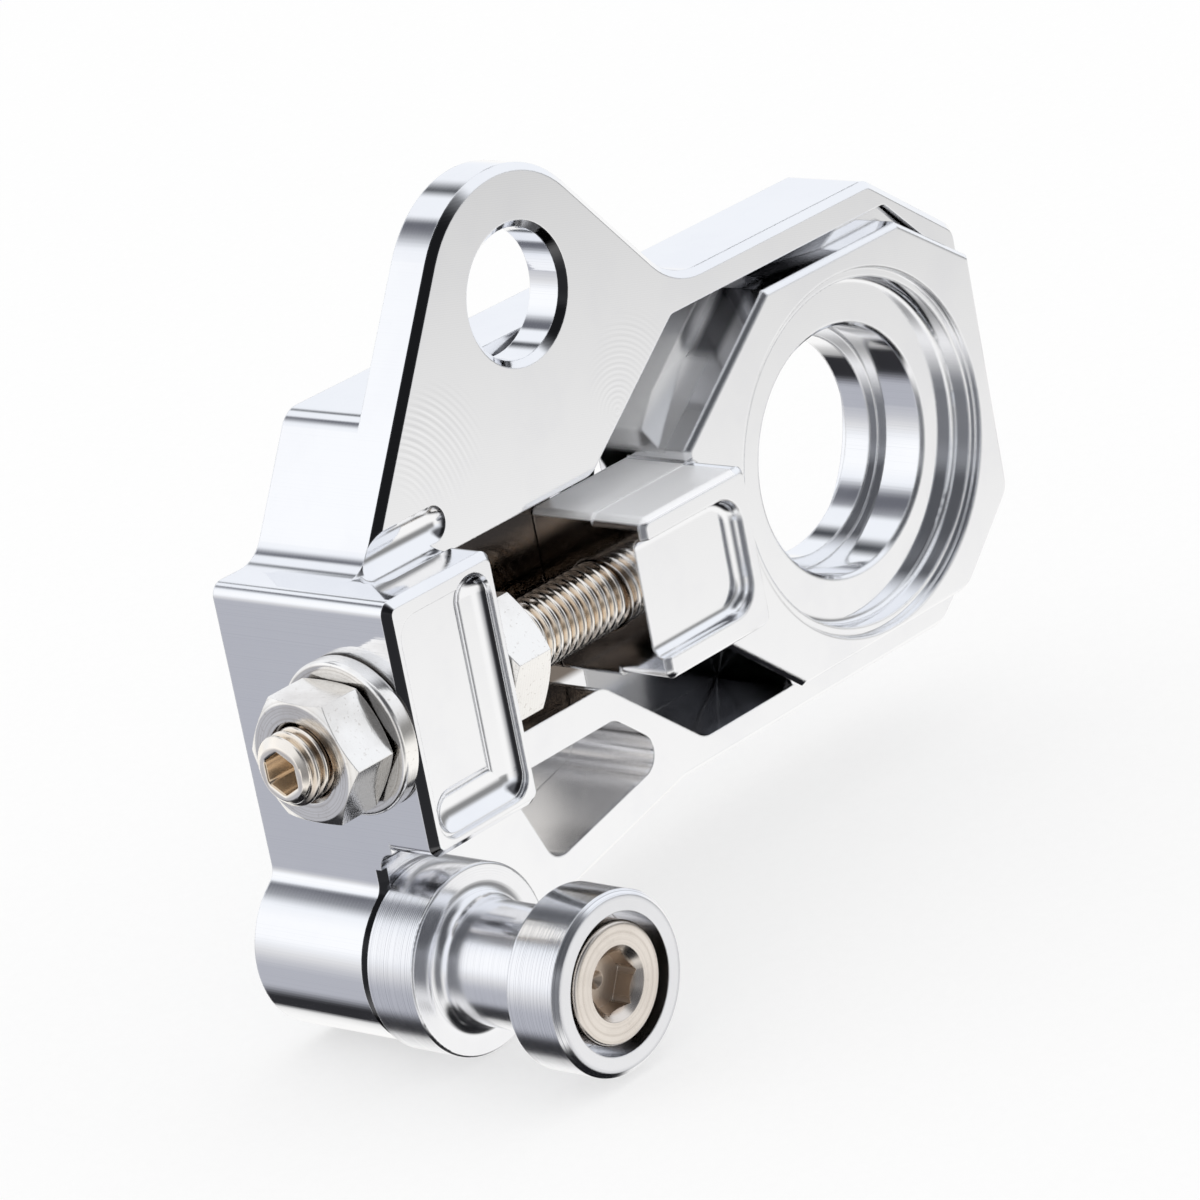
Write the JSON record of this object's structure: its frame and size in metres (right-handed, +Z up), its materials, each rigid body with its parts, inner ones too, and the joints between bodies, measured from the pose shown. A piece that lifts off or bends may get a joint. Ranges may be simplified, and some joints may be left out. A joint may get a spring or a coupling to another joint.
{
  "type": "motorcycle chain adjuster",
  "caption": "Billet rear axle chain adjuster: an axle slider drawn along a machined frame by a stud and nuts, with a mounting ear and a stand spool.",
  "frame": {"origin": "on the axle axis, at the inboard face of the slider", "axes": "+X forward along the adjusting travel, +Y inboard along the axle, +Z up"},
  "size_m": [0.118, 0.0427, 0.0853],
  "materials": {
    "billet_aluminium": "mirror polished, machined",
    "turned_aluminium": "polished, turned marks",
    "stainless_fastener": "bright stainless",
    "stainless_thread": "rolled thread, warm stainless"
  },
  "bodies": {
    "frame": {"carrier_frame": "billet_aluminium", "outer_washer": "stainless_fastener", "stand_spool": "turned_aluminium", "spool_screw": "stainless_fastener"},
    "slider": {"axle_slider": "billet_aluminium", "adjuster_stud": "stainless_thread"},
    "outer_nut": {"outer_lock_nut": "stainless_fastener"},
    "inner_nut": {"inner_jam_nut": "stainless_fastener"}
  },
  "joints": [
    {"name": "slider_travel", "type": "slide", "parent": "frame", "child": "slider", "axis": [1, 0, 0], "range_m": [-0.012, 0]},
    {"name": "outer_nut_turn", "type": "hinge", "parent": "frame", "child": "outer_nut", "pos_m": [-0.0874, -0.012, 0], "axis": [1, 0, 0], "range_deg": [0, 3457]},
    {"name": "inner_nut_turn", "type": "hinge", "parent": "frame", "child": "inner_nut", "pos_m": [-0.0625, -0.012, 0], "axis": [1, 0, 0], "range_deg": [0, 3457]}
  ],
  "couplings": [
    {"joint": "outer_nut_turn", "follows": "slider_travel", "rad_per_m": -5026.5},
    {"joint": "inner_nut_turn", "follows": "slider_travel", "rad_per_m": -5026.5}
  ]
}
